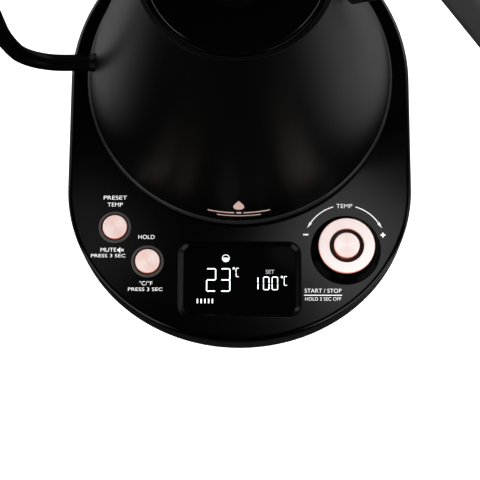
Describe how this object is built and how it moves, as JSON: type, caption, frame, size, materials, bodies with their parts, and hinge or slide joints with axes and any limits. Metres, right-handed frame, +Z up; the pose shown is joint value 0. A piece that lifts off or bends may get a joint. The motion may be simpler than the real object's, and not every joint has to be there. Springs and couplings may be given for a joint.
{
  "type": "gooseneck kettle",
  "caption": "Conical electric kettle with a slim curved spout and a sloping grip, standing on a powered turning base with a display, knob and push buttons.",
  "frame": {"origin": "centre of the whole object's box at table level; the kettle's axis is 6.3 mm towards +X and 23.4 mm towards +Y of it", "axes": "+Z up; +X towards the handle, so the spout points along -X; -Y towards the user and the control panel"},
  "size_m": [0.2882, 0.217, 0.1788],
  "materials": {
    "deck": "satin black moulding",
    "floor_plastic": "fine textured black",
    "inner_plastic": "moulded dark grey",
    "board": "green circuit board",
    "window": "smoked polished",
    "copper": "plated contact",
    "knob_black": "polished black",
    "rose_metal": "rose gold, spun",
    "bezel": "dark taupe, polished",
    "body_paint": "satin black paint on steel",
    "lid_gloss": "gloss black",
    "grip": "soft-touch black",
    "steel": "brushed",
    "dark_steel": "blackened",
    "alloy": "cast",
    "silicone": "matt translucent grey",
    "rubber": "matt"
  },
  "bodies": {
    "base": {"base_top_cover": "deck", "base_floor": "floor_plastic", "base_screws": "steel", "cord_inlet": "rubber", "panel_board": "board", "power_board": "board", "relay": "inner_plastic", "buzzer": "inner_plastic", "display_window": "window", "display_module": "inner_plastic", "encoder": "inner_plastic", "connector_tower": "inner_plastic", "connector_contact": "copper", "connector_pin": "copper", "custom_bezel": "bezel", "hold_bezel": "bezel", "custom_switch": "inner_plastic", "hold_switch": "inner_plastic", "foot_1": "rubber", "foot_2": "rubber", "foot_3": "rubber", "foot_4": "rubber", "foot_5": "rubber"},
    "swivel": {"connector_shroud": "inner_plastic"},
    "kettle": {"body_shell": "body_paint", "foot_ring": "body_paint", "kettle_bottom": "floor_plastic", "kettle_socket": "inner_plastic", "heating_plate": "steel", "plate_seal": "silicone", "heat_spreader": "alloy", "heating_element": "alloy", "thermostat": "steel", "temperature_probe": "steel", "cover_screws": "steel", "mouth_ring": "body_paint", "spout_tube": "body_paint", "spout_collar": "body_paint", "spout_strainer": "steel", "handle_bracket": "body_paint", "handle_core": "steel", "handle_arm": "grip", "handle_grip": "grip", "handle_cap": "grip", "handle_screws": "dark_steel"},
    "lid": {"lid_cap": "lid_gloss", "lid_liner": "steel", "lid_gasket": "silicone", "lid_knob": "grip", "lid_screw": "steel"},
    "knob": {"knob_shaft": "steel", "knob_skirt": "knob_black", "knob_ring": "rose_metal"},
    "start_cap": {"start_button": "rose_metal"},
    "custom_cap": {"custom_button": "rose_metal"},
    "hold_cap": {"hold_button": "rose_metal"}
  },
  "joints": [
    {"name": "kettle_swivel", "type": "hinge", "parent": "base", "child": "swivel", "pos_m": [0.00632, 0.02345, 0.02], "axis": [0, 0, 1], "continuous": true},
    {"name": "kettle_lift", "type": "slide", "parent": "swivel", "child": "kettle", "axis": [0, 0, 1], "range_m": [0, 0.2]},
    {"name": "lid_lift", "type": "slide", "parent": "kettle", "child": "lid", "axis": [0, 0, 1], "range_m": [0, 0.08]},
    {"name": "knob_turn", "type": "hinge", "parent": "base", "child": "knob", "pos_m": [0.05772, -0.06385, 0.024], "axis": [0, 0, 1], "continuous": true},
    {"name": "start_press", "type": "slide", "parent": "knob", "child": "start_cap", "axis": [0, 0, -1], "range_m": [0, 0.001], "stiffness_N_per_m": 1500},
    {"name": "custom_press", "type": "slide", "parent": "base", "child": "custom_cap", "axis": [0, 0, -1], "range_m": [0, 0.001], "stiffness_N_per_m": 1500},
    {"name": "hold_press", "type": "slide", "parent": "base", "child": "hold_cap", "axis": [0, 0, -1], "range_m": [0, 0.001], "stiffness_N_per_m": 1500}
  ]
}
